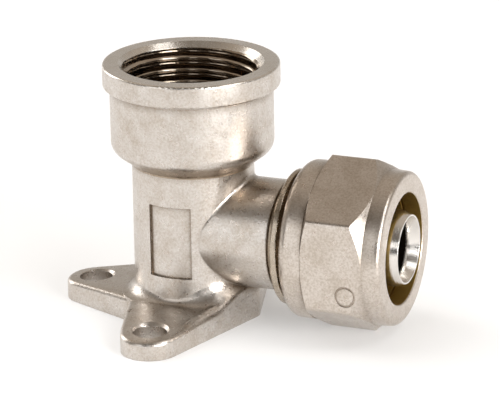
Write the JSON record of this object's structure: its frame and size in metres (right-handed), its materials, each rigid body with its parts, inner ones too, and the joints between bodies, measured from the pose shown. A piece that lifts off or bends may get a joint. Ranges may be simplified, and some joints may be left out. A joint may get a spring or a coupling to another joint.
{
  "type": "multilayer pipe wall-plate elbow",
  "caption": "Nickel-plated brass wall-plate elbow: upright threaded socket on an eared plate, with a side outlet that clamps a multilayer pipe under a hexagon compression nut.",
  "frame": {"origin": "point where the socket axis meets the wall face of the plate", "axes": "+Z along the socket axis away from the wall, +X along the outlet axis towards the pipe"},
  "size_m": [0.054, 0.0452, 0.0382],
  "materials": {
    "nickel_body": "satin nickel plate on forged brass",
    "nickel_nut": "satin nickel plate on forged brass",
    "bare_brass": "turned, unplated",
    "seal_rubber": "moulded",
    "washer_plastic": "moulded"
  },
  "bodies": {
    "elbow": {"elbow_body": "nickel_body", "o_ring_rear": "seal_rubber", "o_ring_front": "seal_rubber", "insulating_washer": "washer_plastic"},
    "ring": {"split_ring": "bare_brass"},
    "nut": {"compression_nut": "nickel_nut"}
  },
  "joints": [
    {"name": "ring_slide", "type": "slide", "parent": "elbow", "child": "ring", "axis": [1, 0, 0], "range_m": [0, 0.0045]},
    {"name": "nut_turn", "type": "hinge", "parent": "ring", "child": "nut", "pos_m": [0.025, 0, 0.01315], "axis": [1, 0, 0], "range_deg": [0, 1080]}
  ],
  "couplings": [
    {"joint": "ring_slide", "follows": "nut_turn", "m_per_rad": 0.00023873}
  ]
}
